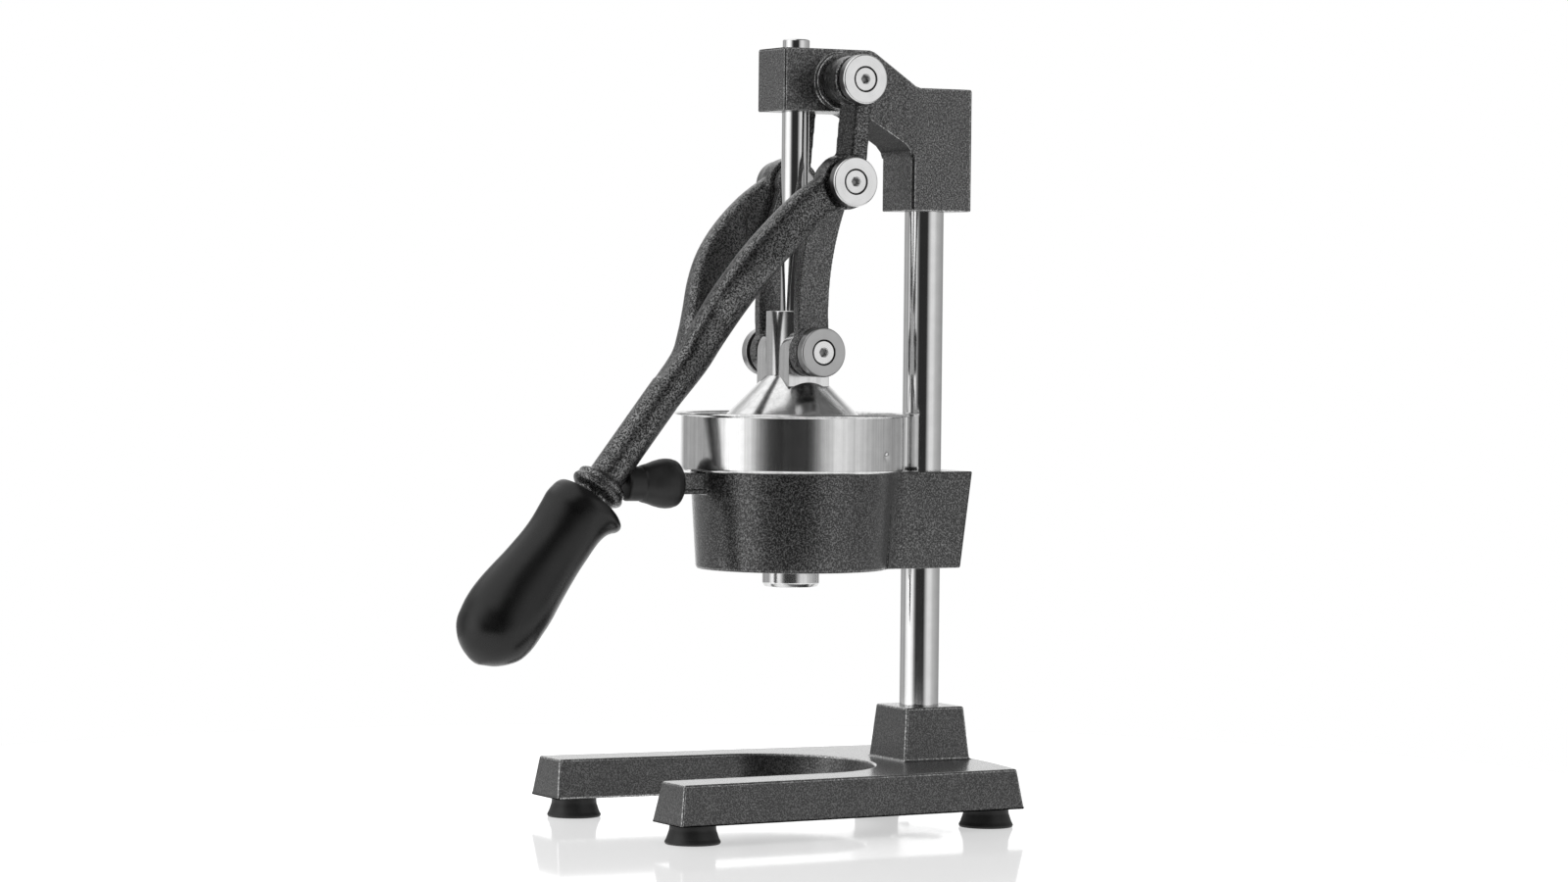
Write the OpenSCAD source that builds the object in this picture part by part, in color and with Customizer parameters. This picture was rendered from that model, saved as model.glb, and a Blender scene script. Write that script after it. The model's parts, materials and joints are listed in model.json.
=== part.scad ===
// Hand-lever citrus press: a column on a U-shaped base carries a guide head and a bowl bracket.
// A forked lever swings on the head and drives the press cone up and down through two links.
// Millimetres. +Z is up and -Y is the front, where the user stands. The part is symmetric about X = 0.

/* [Overall] */
// Press rod axis behind the middle of the footprint
rod_y = 44; // [35:0.5:50]
// Column axis behind the press rod axis
column_reach = 82; // [78:0.5:90]
// Height of the column's top inside the head
column_top_z = 398; // [380:1:401]
// Column diameter
column_d = 22; // [18:0.5:24]
// Press rod diameter
rod_d = 15; // [12:0.5:16]
// Height of the press rod's top
rod_top_z = 430.3; // [426:0.1:440]

/* [Base] */
// Height of the casting's underside, on the feet
base_bottom_z = 11; // [8:0.5:14]
// Height of the casting's top face
base_top_z = 32.7; // [28:0.1:38]
// Half width at the front, top edge
base_front_half_w = 90; // [84:0.5:95]
// Half width at the rear, top edge
base_rear_half_w = 78; // [70:0.2:84]
// Front edge ahead of the press rod axis, top edge
base_front_reach = 109.6; // [104:0.1:112]
// Rear corners behind the press rod axis, top edge
base_rear_reach = 99.6; // [96:0.1:104]
// How far the rear edge bulges behind its corners
base_rear_bulge = 9; // [4:0.5:12]
// Extra half width and length at the underside, from the mould's draft
base_draft = 3.2; // [1:0.2:4]
// Half width of the U opening at its mouth, top edge
opening_mouth_half_w = 64; // [62:0.5:66]
// Radius of the U opening's round end, top edge
opening_r = 59; // [54:0.5:60]
// How much narrower the U opening is at the underside, each side
opening_draft = 5.2; // [0.2:0.2:6]
// Centre of the round end ahead of the press rod axis
opening_reach = 13; // [10:0.5:20]
// Height of the boss's top
boss_top_z = 62.2; // [56:0.1:70]
// Half size of the square boss at its top
boss_half_w = 17.6; // [15:0.2:20]
// Extra half size of the boss at its foot
boss_draft = 2.9; // [1:0.1:4]
// Extra length of the boss towards the rear
boss_rear_extra = 1.3; // [0:0.1:4]

/* [Feet] */
// Radius of a rubber foot where it meets the floor
foot_r = 15; // [12:0.1:16]
// Radius of a rubber foot under the casting
foot_top_r = 12.3; // [10:0.1:14]
// Front feet, distance from the middle plane
front_foot_x = 73; // [70:0.5:76]
// Front feet, distance ahead of the press rod axis
front_foot_reach = 96; // [90:0.5:98]
// Rear feet, distance from the middle plane
rear_foot_x = 61.5; // [58:0.5:66]
// Rear feet, distance behind the press rod axis
rear_foot_reach = 90; // [80:0.5:91]

/* [Head] */
// Height of the head's top
head_top_z = 425.1; // [422:0.1:426]
// Height of the underside round the press rod
head_bottom_z = 390.7; // [388:0.1:394]
// Half width of the arm part
head_half_w = 15.7; // [14:0.1:16]
// Half width of the clamp block
block_half_w = 17.6; // [16:0.1:19]
// Height of the clamp block's top
block_top_z = 405.5; // [403:0.5:410]
// Height of the clamp block's underside
block_bottom_z = 337.6; // [330:0.2:345]
// Radius of the round pads that face the lever eyes
pad_r = 15.3; // [14:0.1:16]

/* [Linkage] */
// Head pivot behind the press rod axis
pivot_a_reach = 18.5; // [18:0.1:19]
// Height of the head pivot
pivot_a_z = 407.4; // [407:0.1:408]
// Link pivot on the lever, behind the press rod axis
pivot_b_reach = 13.2; // [12.8:0.1:13.6]
// Height of the link pivot on the lever
pivot_b_z = 351.7; // [351.2:0.1:352.2]
// Height of the pivot on the press cone
pivot_c_z = 259; // [258.5:0.1:259.5]
// Inner face of the links, from the middle plane
link_inner_x = 19.8; // [19.7:0.1:20]
// Thickness of a link
link_t = 6; // [5:0.1:6]
// Width of a link between its eyes
link_w = 18.6; // [16:0.2:20]
// How far the middle of a link bulges forward
link_bulge = 6.2; // [4:0.2:8]
// Inner face of the lever's arms, from the middle plane
lever_inner_x = 26.2; // [26.1:0.1:26.5]
// Outer face of the lever's eyes
eye_outer_x = 36.8; // [36:0.1:37.2]

/* [Lever] */
// Diameter of the lever's straight bar
bar_d = 20; // [17:0.5:22]
// Length of the grip along its axis
grip_len = 109; // [105:1:125]
// Radius of the beaded collar above the grip
collar_r = 15.4; // [13:0.1:17]

/* [Pivot caps] */
// Radius of a cap washer
cap_r = 13.5; // [12:0.1:14]
// Thickness of a cap washer
cap_t = 6; // [4:0.5:6]
// Radius of the countersunk screw heads
screw_head_r = 6.3; // [5.5:0.1:6.7]

/* [Bowl] */
// Height of the bracket's top face, where the cup rests
bracket_top_z = 193.4; // [193:0.1:198]
// Height of the bracket's underside
bracket_bottom_z = 139.7; // [136:0.1:146]
// Outer radius of the bracket's ring at the top
bracket_r = 56; // [54:0.5:57]
// Outer radius of the bracket's ring at the bottom
bracket_low_r = 52.5; // [50:0.5:53]
// Outer radius of the cup's wall
cup_r = 61.3; // [59:0.1:63]
// Height of the cup's rim
cup_rim_z = 225; // [220:0.5:228]
// Radius of the spout
spout_r = 15.7; // [12:0.1:17]
// Height of the spout's mouth
spout_bottom_z = 130; // [126:0.5:135]
// Thickness of the cup's sheet
sheet_t = 1.5; // [1:0.1:2]

/* [Press cone] */
// Radius of the cone's skirt
cone_r = 50; // [46:0.5:52]
// Radius of the neck
neck_r = 15; // [14:0.1:16]
// Height of the neck's top
neck_top_z = 281.5; // [278:0.5:285]

/* [Hidden] */
$fn = 64;

fit = 0.05;              // radial running clearance of a shaft in its bore
gap = 0.3;               // clearance between faces that move past each other
column_r = column_d / 2;
rod_r = rod_d / 2;
column_bottom_z = base_top_z - 4;
shaft_r = 5;             // pivot shafts and pins
bush_r = 6.5;            // outside of the bearing bushes
thread_r = 3;            // M6 cap screws
spacer_r = 11;
cap_chamfer = 1;
bolt_r = 5;              // M10 column bolt
foot_screw_r = 2.5;      // M5 foot screws
foot_screw_len = 22;
set_screw_r = 4;         // M8 set screws
set_screw_len = 5;
set_screw_tip = 1.2;
head_set_zs = [352, 380];
bracket_set_zs = [155, 180];
bolt_recess_r = 14;

// Head side profile
head_front_reach = 15.2;
head_slope_start = 38;   // where the top starts to slope down to the clamp block
head_slope_end = 66;
block_front_reach = 64.3;
block_rear_reach = 101.9;
arch_start = 31;         // where the underside starts to slope down
arch_end_z = 370.5;
pad_x = 19.4;            // outer face of the round pads
head_corner = 0.6;       // edge chamfer of the head
edge_chamfer = 0.6;      // of its top edges
block_corner = 1.2;      // chamfer down the clamp block's front corners

// Pivot positions in the YZ plane, as [Y, Z]
pivot_a = [rod_y + pivot_a_reach, pivot_a_z];
pivot_b = [rod_y + pivot_b_reach, pivot_b_z];
pivot_c = [rod_y, pivot_c_z];
arm_vector = pivot_a - pivot_b;
arm_len = norm(arm_vector);
arm_tilt = atan2(arm_vector[0], arm_vector[1]);
link_vector = pivot_b - pivot_c;
link_len = norm(link_vector);
link_tilt = atan2(link_vector[0], link_vector[1]);
link_outer_x = link_inner_x + link_t;
cap_inner_x = 40;                        // head and lever pivots
cap_c_inner_x = 29.8;                    // press cone pivot
eye_a_r = 13.4;
eye_b_r = 15;
eye_collar_r = 12.8;                     // inner end of the lever's head eye
link_eye_r = 13.4;                       // at the press cone
link_top_eye_r = 12.5;                   // at the lever
link_c_outer_x = 27.2;
boss_x = 18.5;                           // flat faces of the press cone's pivot boss
boss_half_depth = 12.7;
pin_head_t = 3.2;

// Lever centreline on the right side: [X, Y behind the rod, Z], from pivot B to the straight bar
fork_path = [
    [33, pivot_b_reach, pivot_b_z], [33, 4, 346], [32, -10, 336], [30.3, -24, 322.5],
    [26, -35.5, 308.5], [19.5, -44, 294.5], [11.8, -50.5, 281], [6, -57, 267],
    [2.8, -64.6, 252.5], [1.6, -82, 231.4]
];
// Half thickness across and in plane at each of those points
fork_size = [
    [6.5, 10], [6.6, 11], [7, 11.4], [7.4, 11.5], [7.8, 11.5],
    [8, 11.3], [8.2, 11], [8.3, 10.2], [8, 9.4], [7.4, 9]
];
fork_steps = 4;          // rings between two points
fork_sides = 24;
fork_power = 0.8;        // below 1 the section is squarer than an ellipse
bar_dir = [0, -0.612, -0.791];
bar_start = [0, rod_y - 76.1, 238.9];
collar_at = 76;          // distance from bar_start to the collar's lower end
collar_len = 14;
tang_r = 7;
tang_len = 100;

// Grip section along its length, for a grip 109 long: [distance from its top, front radius,
// rear radius, half width]
grip_ring_len = 109;
grip_rings = [
    [0, 17, 15.6, 16], [0.7, 19.2, 19, 18.4], [2.2, 20.3, 22, 19.4], [4, 21, 22.7, 19.8],
    [6, 21.4, 21.9, 19.8], [8, 21.8, 20, 19.5], [11, 22.1, 18.1, 19], [15, 21.7, 17, 18.4],
    [20, 21.2, 16.6, 18], [28, 20.5, 16.8, 17.7], [36, 20.6, 17, 17.9], [44, 21.3, 17.6, 18.5],
    [52, 22.2, 18.3, 19.4], [60, 23.4, 19.2, 20.4], [68, 24.4, 20.1, 21.4], [76, 24.9, 20.3, 22],
    [83, 24.6, 20.4, 22.1], [89, 23.6, 19.8, 21.4], [94, 22.5, 18.3, 20.2], [98, 20.6, 15.7, 18.2],
    [101.5, 17.8, 12.6, 15.4], [104.5, 14.6, 9.2, 12], [107, 10.3, 4.9, 7.8], [108.6, 5.6, 2, 3.8]
];
grip_sides = 32;

bracket_block_half_w = 22;
bracket_block_reach = 102.3;
bracket_fillet_r = 15;

// Stop arm and bumper
stop_z = 187.2;
stop_arm_half_h = 5.8;
stop_arm_half_w = 6.5;
bumper_rear_reach = 67;
bumper_front_reach = 102.5;
stop_core_r = 5.2;
stop_core_reach = 92;

strainer_r = 58;
strainer_flange_z = bracket_top_z + sheet_t;
strainer_base_r = 49;
strainer_top_r = 13;
strainer_top_z = 236;
strainer_holes = 24;
strainer_ribs = 12;

// ---- Helpers ------------------------------------------------------------------------------

// Lays the +Z axis of its children along +X, or along -X on the left side
module along_x(side = 1) rotate([0, side * 90, 0]) children();

// Cylinder along X from x0 to x1 on the right side, mirrored for side = -1, about a [Y, Z] centre
module x_rod(centre, r, x0, x1, side = 1) {
    translate([side * x0, centre[0], centre[1]])
        along_x(side)
            cylinder(r = r, h = x1 - x0);
}

// Extrudes a [Y, Z] outline from x0 to x1
module yz_plate(x0, x1) {
    translate([x0, 0, 0])
        rotate([90, 0, 90])
            linear_extrude(x1 - x0)
                children();
}

module both_sides() {
    for (side = [-1, 1]) mirror([side < 0 ? 1 : 0, 0, 0]) children();
}

function unit(v) = v / norm(v);

// Point of a Catmull-Rom curve through p1 and p2
function spline_point(p0, p1, p2, p3, t) =
    0.5 * (2 * p1 + (p2 - p0) * t + (2 * p0 - 5 * p1 + 4 * p2 - p3) * t * t
        + (3 * p1 - p0 - 3 * p2 + p3) * t * t * t);

// Curve through a list of points, with a number of steps between neighbours
function spline(points, steps) = [
    for (i = [0 : len(points) - 2], k = [0 : steps - 1])
        spline_point(points[max(i - 1, 0)], points[i], points[i + 1],
            points[min(i + 2, len(points) - 1)], k / steps),
    points[len(points) - 1]
];

// Direction of a curve at point i
function tangent(points, i) =
    unit(points[min(i + 1, len(points) - 1)] - points[max(i - 1, 0)]);

// Ring of a rounded section: half sizes a across and b in plane
function section_ring(centre, along, a, b, sides, power) =
    let (plane_dir = unit(cross(along, [1, 0, 0])), across_dir = cross(plane_dir, along))
    [
        for (k = [0 : sides - 1])
            let (c = cos(360 * k / sides), s = sin(360 * k / sides))
            centre + across_dir * a * sign(c) * pow(abs(c), power)
                + plane_dir * b * sign(s) * pow(abs(s), power)
    ];

// Closed skin over a list of rings with the same number of points
module skin(rings) {
    n = len(rings[0]);
    last = len(rings) - 1;
    points = [for (ring = rings, p = ring) p];
    walls = [
        for (i = [0 : last - 1], k = [0 : n - 1], half = [0, 1])
            let (a = i * n + k, b = i * n + (k + 1) % n, c = b + n, d = a + n)
            half == 0 ? [a, c, b] : [a, d, c]
    ];
    start_cap = [for (k = [0 : n - 1]) k];
    end_cap = [for (k = [n - 1 : -1 : 0]) last * n + k];
    polyhedron(points, concat([start_cap], walls, [end_cap]));
}

// Places its children at a foot: side is -1 on the left, end is -1 at the front
module at_foot(side, end) {
    x = end < 0 ? front_foot_x : rear_foot_x;
    y = end < 0 ? -front_foot_reach : rear_foot_reach;
    translate([side * x, rod_y + y, 0]) children();
}

module at_all_feet() {
    for (side = [-1, 1], end = [-1, 1]) at_foot(side, end) children();
}

// Column space, for clamps and for the base
module column_space(z0, z1, clearance = 0) {
    translate([0, rod_y + column_reach, z0])
        cylinder(r = column_r + clearance, h = z1 - z0);
}

// ---- Base ---------------------------------------------------------------------------------

// Plan of the base with its draft added all round
module base_plan(grow) {
    corner_y = base_rear_reach + grow;
    half_w = base_rear_half_w + grow;
    arc_r = (half_w * half_w + base_rear_bulge * base_rear_bulge) / (2 * base_rear_bulge);
    arc_half = asin(half_w / arc_r);
    polygon(concat(
        [[-base_front_half_w - grow, -base_front_reach - grow],
         [base_front_half_w + grow, -base_front_reach - grow]],
        [for (k = [0 : 12])
            let (a = arc_half * (1 - k / 6))
            [arc_r * sin(a), corner_y + base_rear_bulge - arc_r * (1 - cos(a))]]
    ));
}

// U opening: a round end and legs that spread to the mouth, narrowed by an amount all round
module opening_plan(narrow) {
    r = opening_r - narrow;
    mouth = opening_mouth_half_w - narrow;
    mouth_y = -base_front_reach - 20;
    polygon(concat(
        [[-mouth, mouth_y], [mouth, mouth_y]],
        [for (k = [0 : 24])
            let (a = k * 180 / 24)
            [r * cos(a), -opening_reach + r * sin(a)]]
    ));
}

// Plan of the boss round the column with its draft added all round
module boss_plan(grow) {
    half = boss_half_w + grow;
    translate([-half, -half]) square([2 * half, 2 * half + boss_rear_extra]);
}

module base_casting() {
    skin_t = 0.01;
    color("#4b4c4e")
    difference() {
        union() {
            translate([0, rod_y, 0])
                difference() {
                    hull() {
                        translate([0, 0, base_bottom_z]) linear_extrude(skin_t) base_plan(base_draft);
                        translate([0, 0, base_top_z - skin_t]) linear_extrude(skin_t) base_plan(0);
                    }
                    hull() {
                        translate([0, 0, base_bottom_z - 1]) linear_extrude(1) opening_plan(opening_draft);
                        translate([0, 0, base_top_z]) linear_extrude(1) opening_plan(0);
                    }
                }
            translate([0, rod_y + column_reach, 0])
                hull() {
                    translate([0, 0, base_top_z - 1])
                        linear_extrude(skin_t) boss_plan(boss_draft);
                    translate([0, 0, boss_top_z - skin_t])
                        linear_extrude(skin_t) boss_plan(0);
                }
        }
        column_space(column_bottom_z, boss_top_z + 1);
        translate([0, rod_y + column_reach, 0]) {
            cylinder(r = bolt_r + 0.5, h = column_bottom_z + 1);
            cylinder(r = bolt_recess_r, h = base_bottom_z + 10);
        }
        at_all_feet() cylinder(r = foot_screw_r, h = foot_screw_len + 2);
    }
}

// Rubber foot with a flared lip and a counterbore for its screw
module foot(side, end) {
    color("#1c1c1d")
    at_foot(side, end)
        rotate_extrude()
            polygon([
                [foot_screw_r, 4], [foot_screw_r + 3, 4], [foot_screw_r + 3, 0], [foot_r - 1, 0],
                [foot_r, 0.8], [foot_r - 0.9, 2.6], [foot_top_r + 0.3, 7.5], [foot_top_r, base_bottom_z],
                [foot_screw_r, base_bottom_z]
            ]);
}

module foot_front_left() foot(-1, -1);
module foot_front_right() foot(1, -1);
module foot_rear_left() foot(-1, 1);
module foot_rear_right() foot(1, 1);

// Pan-head screws that hold the feet
module foot_screws() {
    color("#b9babc")
    at_all_feet() {
        difference() {
            translate([0, 0, 1.2]) cylinder(r = foot_screw_r + 2.4, h = 2.8);
            translate([0, 0, 0.2]) cylinder(r = 1.7, h = 2.2, $fn = 6);
        }
        translate([0, 0, 3.9]) cylinder(r = foot_screw_r, h = foot_screw_len - 3.9);
    }
}

// ---- Column -------------------------------------------------------------------------------

module column() {
    color("#c9cacc")
    difference() {
        translate([0, rod_y + column_reach, column_bottom_z])
            rotate_extrude()
                polygon([
                    [0, 0], [column_r - 1, 0], [column_r, 1],
                    [column_r, column_top_z - column_bottom_z - 1],
                    [column_r - 1, column_top_z - column_bottom_z], [0, column_top_z - column_bottom_z]
                ]);
        translate([0, rod_y + column_reach, column_bottom_z - 1]) cylinder(r = bolt_r, h = 27);
    }
}

// Hex-socket bolt up through the base into the column's lower end
module column_bolt() {
    head_z = base_bottom_z + 1.5;
    head_h = 6;
    color("#8f9093")
    translate([0, rod_y + column_reach, 0])
        difference() {
            union() {
                translate([0, 0, head_z]) cylinder(r = 8, h = head_h);
                translate([0, 0, head_z + head_h]) cylinder(r = bolt_r, h = 33);
            }
            translate([0, 0, head_z - 1]) cylinder(r = 4.6, h = 5, $fn = 6);
        }
}

module column_bolt_washer() {
    color("#a5a6a8")
    translate([0, rod_y + column_reach, base_bottom_z + 7.5])
        difference() {
            cylinder(r = 11, h = 2.5);
            translate([0, 0, -1]) cylinder(r = bolt_r + fit, h = 5);
        }
}

// ---- Head ---------------------------------------------------------------------------------

module head_side_outline() {
    translate([rod_y, 0])
        polygon([
            [-head_front_reach, head_bottom_z], [-head_front_reach, head_top_z - edge_chamfer],
            [edge_chamfer - head_front_reach, head_top_z], [head_slope_start, head_top_z],
            [head_slope_start + 3, head_top_z - 1], [head_slope_end, block_top_z + 1],
            [head_slope_end + 3, block_top_z], [block_rear_reach - edge_chamfer, block_top_z],
            [block_rear_reach, block_top_z - edge_chamfer],
            [block_rear_reach, block_bottom_z], [block_front_reach, block_bottom_z],
            [block_front_reach, arch_end_z - 4], [block_front_reach - 1.2, arch_end_z],
            [block_front_reach - 4.4, arch_end_z + 3.6], [arch_start + 3, head_bottom_z - 1],
            [arch_start, head_bottom_z]
        ]);
}

// Half of the head's plan, with chamfered corners
module head_plan() {
    half = [
        [-head_front_reach, 0], [-head_front_reach, head_half_w - head_corner],
        [-head_front_reach + head_corner, head_half_w], [head_slope_start, head_half_w],
        [block_front_reach, block_half_w],
        [block_rear_reach - head_corner, block_half_w], [block_rear_reach, block_half_w - head_corner],
        [block_rear_reach, 0]
    ];
    for (side = [-1, 1]) polygon([for (p = half) [side * p[1], p[0]]]);
}

module head_casting() {
    color("#525355")
    difference() {
        union() {
            intersection() {
                yz_plate(-block_half_w - 1, block_half_w + 1) head_side_outline();
                translate([0, rod_y, block_bottom_z - 1])
                    linear_extrude(head_top_z - block_bottom_z + 2) head_plan();
            }
            x_rod(pivot_a, pad_r, -pad_x, pad_x);
        }
        translate([0, rod_y, head_bottom_z - 5]) cylinder(r = rod_r + fit, h = head_top_z);
        column_space(block_bottom_z - 1, column_top_z);
        x_rod(pivot_a, shaft_r, -pad_x - 1, pad_x + 1);
        set_screw_holes(head_set_zs, block_rear_reach);
        both_sides() block_chamfer();
    }
}

// Cutter for the chamfer down the front corner of the clamp block
module block_chamfer() {
    inner_x = block_half_w - block_corner;
    translate([0, rod_y, block_bottom_z - 1])
        linear_extrude(arch_end_z - block_bottom_z - 2)
            polygon([
                [inner_x - 1, block_front_reach - 1], [block_half_w + 1, block_front_reach - 1],
                [block_half_w + 1, block_front_reach + block_corner + 1]
            ]);
}

// Threaded holes from the rear face to the column
module set_screw_holes(zs, rear_reach) {
    for (z = zs)
        translate([0, rod_y + column_reach, z])
            rotate([-90, 0, 0])
                cylinder(r = set_screw_r, h = rear_reach - column_reach + 5);
}

// Cup-point set screws that bear on the column
module set_screws(zs) {
    color("#77787b")
    for (z = zs)
        translate([0, rod_y + column_reach + column_r + 0.05, z])
            rotate([-90, 0, 0])
                difference() {
                    rotate_extrude()
                        polygon([[0, 0], [set_screw_r - set_screw_tip, 0], [set_screw_r, set_screw_tip],
                            [set_screw_r, set_screw_len], [0, set_screw_len]]);
                    translate([0, 0, set_screw_len - 4]) cylinder(r = 2.3, h = 6, $fn = 6);
                }
}

module head_set_screws() set_screws(head_set_zs);
module bracket_set_screws() set_screws(bracket_set_zs);

// ---- Pivot hardware -----------------------------------------------------------------------

// Shaft along X through the middle plane, tapped at both ends
module through_shaft(centre, half_len) {
    color("#a9aaac")
    difference() {
        x_rod(centre, shaft_r, -half_len, half_len);
        both_sides() x_rod(centre, thread_r, half_len - 13, half_len + 1);
    }
}

// Cap washer with a countersink for its screw
module cap(centre, inner_x, side) {
    color("#d3d4d6")
    translate([side * inner_x, centre[0], centre[1]])
        along_x(side)
            rotate_extrude()
                polygon([
                    [thread_r + 0.3, 0], [cap_r - cap_chamfer * 0.6, 0], [cap_r, cap_chamfer * 0.6],
                    [cap_r, cap_t - cap_chamfer], [cap_r - cap_chamfer, cap_t],
                    [screw_head_r + 0.9, cap_t], [screw_head_r + 0.4, cap_t - 0.8],
                    [thread_r + 0.3, cap_t - 4.3]
                ]);
}

// Countersunk hex-socket screws on both sides of a pivot
module cap_screws(centre, inner_x) {
    top = inner_x + cap_t - 0.3;
    color("#dedfe0")
    both_sides()
        translate([top, centre[0], centre[1]])
            rotate([0, 90, 0])
                difference() {
                    rotate_extrude()
                        polygon([[0, -16], [thread_r, -16], [thread_r, -3.6], [screw_head_r, -0.5],
                            [screw_head_r, -0.2], [screw_head_r - 0.2, 0], [0, 0]]);
                    translate([0, 0, -2.6]) cylinder(r = 2.5, h = 4, $fn = 6);
                }
}

// Plain spacer rings on both sides, round a shaft
module spacers(centre, x0, x1) {
    color("#232324")
    both_sides()
        difference() {
            x_rod(centre, spacer_r, x0, x1);
            x_rod(centre, shaft_r + fit, x0 - 1, x1 + 1);
        }
}

module pivot_a_shaft() through_shaft(pivot_a, cap_inner_x);
module pivot_a_spacers() spacers(pivot_a, eye_outer_x + gap, cap_inner_x);
module pivot_a_cap_left() cap(pivot_a, cap_inner_x, -1);
module pivot_a_cap_right() cap(pivot_a, cap_inner_x, 1);
module pivot_a_screws() cap_screws(pivot_a, cap_inner_x);

module pivot_c_shaft() through_shaft(pivot_c, cap_c_inner_x);
module pivot_c_spacers() spacers(pivot_c, link_c_outer_x + gap, cap_c_inner_x);
module pivot_c_cap_left() cap(pivot_c, cap_c_inner_x, -1);
module pivot_c_cap_right() cap(pivot_c, cap_c_inner_x, 1);
module pivot_c_screws() cap_screws(pivot_c, cap_c_inner_x);

// Short pins between the lever and the links, tapped at the outer end
module pivot_b_pins() {
    color("#a9aaac")
    both_sides()
        difference() {
            x_rod(pivot_b, shaft_r, lever_inner_x, cap_inner_x);
            x_rod(pivot_b, thread_r, cap_inner_x - 11, cap_inner_x + 1);
        }
}

module pivot_b_spacers() spacers(pivot_b, eye_outer_x, cap_inner_x);
module pivot_b_cap_left() cap(pivot_b, cap_inner_x, -1);
module pivot_b_cap_right() cap(pivot_b, cap_inner_x, 1);
module pivot_b_screws() {
    // Shorter than the others: the pin is only as long as the lever's eye
    cap_screws(pivot_b, cap_inner_x);
}

// ---- Bowl bracket -------------------------------------------------------------------------

module bowl_bracket() {
    height = bracket_top_z - bracket_bottom_z;
    foot_scale = bracket_low_r / bracket_r;
    color("#444547")
    difference() {
        union() {
            translate([0, rod_y, bracket_bottom_z])
                rotate_extrude()
                    polygon([[0, 0], [bracket_low_r - 1, 0], [bracket_low_r, 1], [bracket_r, height], [0, height]]);
            translate([0, rod_y, bracket_bottom_z])
                linear_extrude(height, scale = 1 / foot_scale)
                    scale(foot_scale)
                        bracket_plan();
            translate([0, rod_y, 0]) stop_arm();
        }
        translate([0, rod_y, 0])
            rotate_extrude()
                polygon([
                    [0, bracket_bottom_z - 1], [spout_r + 4, bracket_bottom_z - 1],
                    [spout_r + 4, bracket_bottom_z + 6], [bracket_low_r - 6, bracket_bottom_z + 14],
                    [bracket_r - 6, bracket_top_z + 1], [0, bracket_top_z + 1]
                ]);
        column_space(bracket_bottom_z - 1, bracket_top_z + 1);
        set_screw_holes(bracket_set_zs, bracket_block_reach);
    }
}

// Plan of the clamp block: fillets where it leaves the ring, small chamfers at the rear
module bracket_plan() {
    half = bracket_block_half_w;
    rear = bracket_block_reach;
    fillet_x = half + bracket_fillet_r;
    fillet_y = sqrt(pow(bracket_r + bracket_fillet_r, 2) - fillet_x * fillet_x);
    start = atan2(fillet_y, fillet_x);
    side = concat(
        [[half + 2, 40]],
        [for (k = [0 : 6])
            let (a = 180 + start * (1 - k / 6))
            [fillet_x + bracket_fillet_r * cos(a), fillet_y + bracket_fillet_r * sin(a)]],
        [[half, rear - head_corner], [half - head_corner, rear]]
    );
    polygon(concat(side, [for (k = [len(side) - 1 : -1 : 0]) [-side[k][0], side[k][1]]]));
}

// Arm that carries the bumper: a flat bar with a lighter lower flange and a round core
module stop_arm() {
    root = bracket_r - 4;
    translate([-stop_arm_half_w, -bumper_rear_reach - 6, stop_z - stop_arm_half_h + 2.4])
        cube([2 * stop_arm_half_w, bumper_rear_reach + 6 - root, 2 * stop_arm_half_h - 2.4]);
    translate([1 - stop_arm_half_w, -bumper_rear_reach - 6, stop_z - stop_arm_half_h])
        cube([2 * stop_arm_half_w - 2, bumper_rear_reach + 6 - root, 3]);
    translate([0, -stop_core_reach, stop_z])
        rotate([-90, 0, 0])
            cylinder(r = stop_core_r, h = stop_core_reach - root);
}

// Rubber bumper pushed over the arm's end
module stop_bumper() {
    color("#1a1a1b")
    translate([0, rod_y - bumper_front_reach, stop_z])
        difference() {
            rotate([-90, 0, 0])
                rotate_extrude()
                    polygon([
                        [0, 0], [8.6, 0], [9.3, 0.8], [9.4, 9.6], [10.1, 10.6], [11, 14],
                        [12.3, 18], [13.2, 21.6], [13.6, 24.6], [13.4, 27.4], [12.6, 30.2], [10.6, 32.1],
                        [8.6, 32.4], [0, 32.4]
                    ]);
            translate([0, bumper_front_reach - stop_core_reach, 0])
                rotate([-90, 0, 0])
                    cylinder(r = stop_core_r, h = 60);
            translate([-stop_arm_half_w, bumper_front_reach - bumper_rear_reach - 6, -stop_arm_half_h])
                cube([2 * stop_arm_half_w, 20, 2 * stop_arm_half_h]);
            // Saddle that takes the bar and its collar when the lever is down
            translate([0, bumper_front_reach - rod_y, -stop_z]) {
                on_bar(0) cylinder(r = bar_d / 2 + gap, h = collar_at);
                on_bar(collar_at - collar_len - gap) cylinder(r = collar_r + gap, h = collar_len + 2 * gap);
            }
        }
}

// ---- Cup and strainer ---------------------------------------------------------------------

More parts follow.
